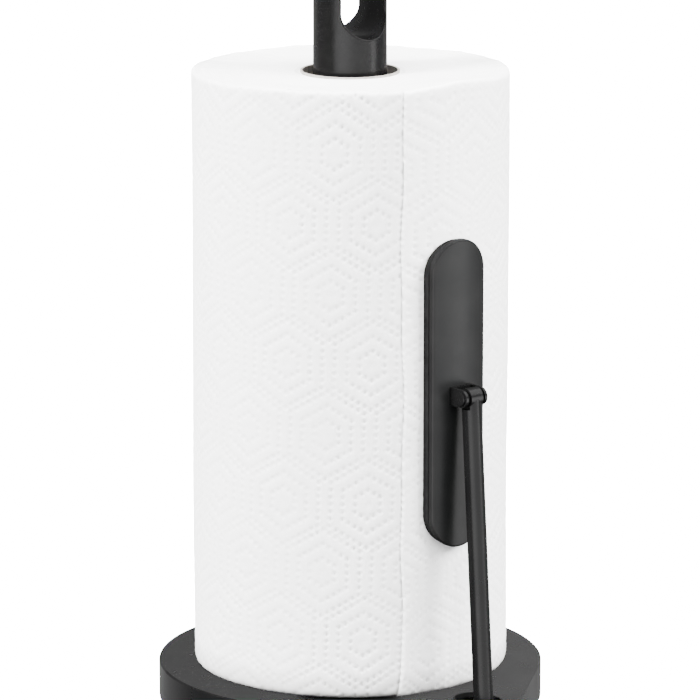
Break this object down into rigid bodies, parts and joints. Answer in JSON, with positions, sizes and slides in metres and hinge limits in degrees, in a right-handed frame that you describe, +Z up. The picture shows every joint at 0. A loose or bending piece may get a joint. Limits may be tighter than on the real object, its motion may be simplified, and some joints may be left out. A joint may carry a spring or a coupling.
{
  "type": "paper towel holder",
  "caption": "Free-standing paper towel holder: weighted teardrop base, upright spindle with an eye at the top, and a sprung rod arm whose long pad presses on the roll.",
  "frame": {"origin": "on the spindle's axis, at the surface the holder stands on", "axes": "+Z up along the spindle, +X from the spindle to the arm"},
  "size_m": [0.2013, 0.18, 0.365],
  "materials": {
    "black_coated_steel": "satin",
    "raw_cast_iron": "matte",
    "zinc_plated_steel": "satin",
    "black_plastic": "matte",
    "nylon": "matte",
    "black_rubber": "matte",
    "spring_steel": "satin",
    "cardboard": "matte",
    "paper": "matte"
  },
  "bodies": {
    "base": {"base_cover": "black_coated_steel", "ballast_weight": "raw_cast_iron", "bottom_plate": "zinc_plated_steel", "non_slip_foot_mat": "black_rubber", "bottom_screws": "zinc_plated_steel", "slot_collar": "black_plastic", "spindle_tube": "black_coated_steel", "lower_tube_insert": "zinc_plated_steel", "upper_tube_insert": "zinc_plated_steel", "finial_with_eye": "black_coated_steel", "centre_bolt": "zinc_plated_steel", "centre_washer": "zinc_plated_steel", "centre_lock_washer": "spring_steel", "pivot_bracket": "zinc_plated_steel", "bracket_screws": "zinc_plated_steel", "pivot_shaft": "zinc_plated_steel", "pivot_shaft_clips": "spring_steel", "arm_torsion_spring": "spring_steel"},
    "arm": {"arm_hub": "zinc_plated_steel", "pivot_bushes": "nylon", "arm_rod": "black_coated_steel", "rod_eye_bush": "black_plastic"},
    "pad": {"pad_liner": "black_rubber", "pad_shell": "black_coated_steel", "pad_clevis": "black_coated_steel", "clevis_rivets": "black_coated_steel", "pad_pin": "black_coated_steel", "pad_pin_clip": "black_coated_steel"},
    "roll": {"cardboard_core": "cardboard", "paper_roll": "paper", "loose_outer_sheet": "paper"}
  },
  "joints": [
    {"name": "arm_swing", "type": "hinge", "parent": "base", "child": "arm", "pos_m": [0.0975, 0, 0.011], "axis": [0, 1, 0], "range_deg": [0, 18], "stiffness_Nm_per_rad": 1.2, "springref_deg": -34.38, "deforming": ["arm_torsion_spring"]},
    {"name": "pad_tilt", "type": "hinge", "parent": "arm", "child": "pad", "pos_m": [0.08716, 0, 0.16], "axis": [0, 1, 0], "range_deg": [-4.5, 0]},
    {"name": "roll_spin", "type": "hinge", "parent": "base", "child": "roll", "pos_m": [0, 0, 0.159], "axis": [0, 0, 1], "continuous": true}
  ],
  "couplings": [
    {"joint": "pad_tilt", "follows": "arm_swing", "ratio": -0.25}
  ]
}
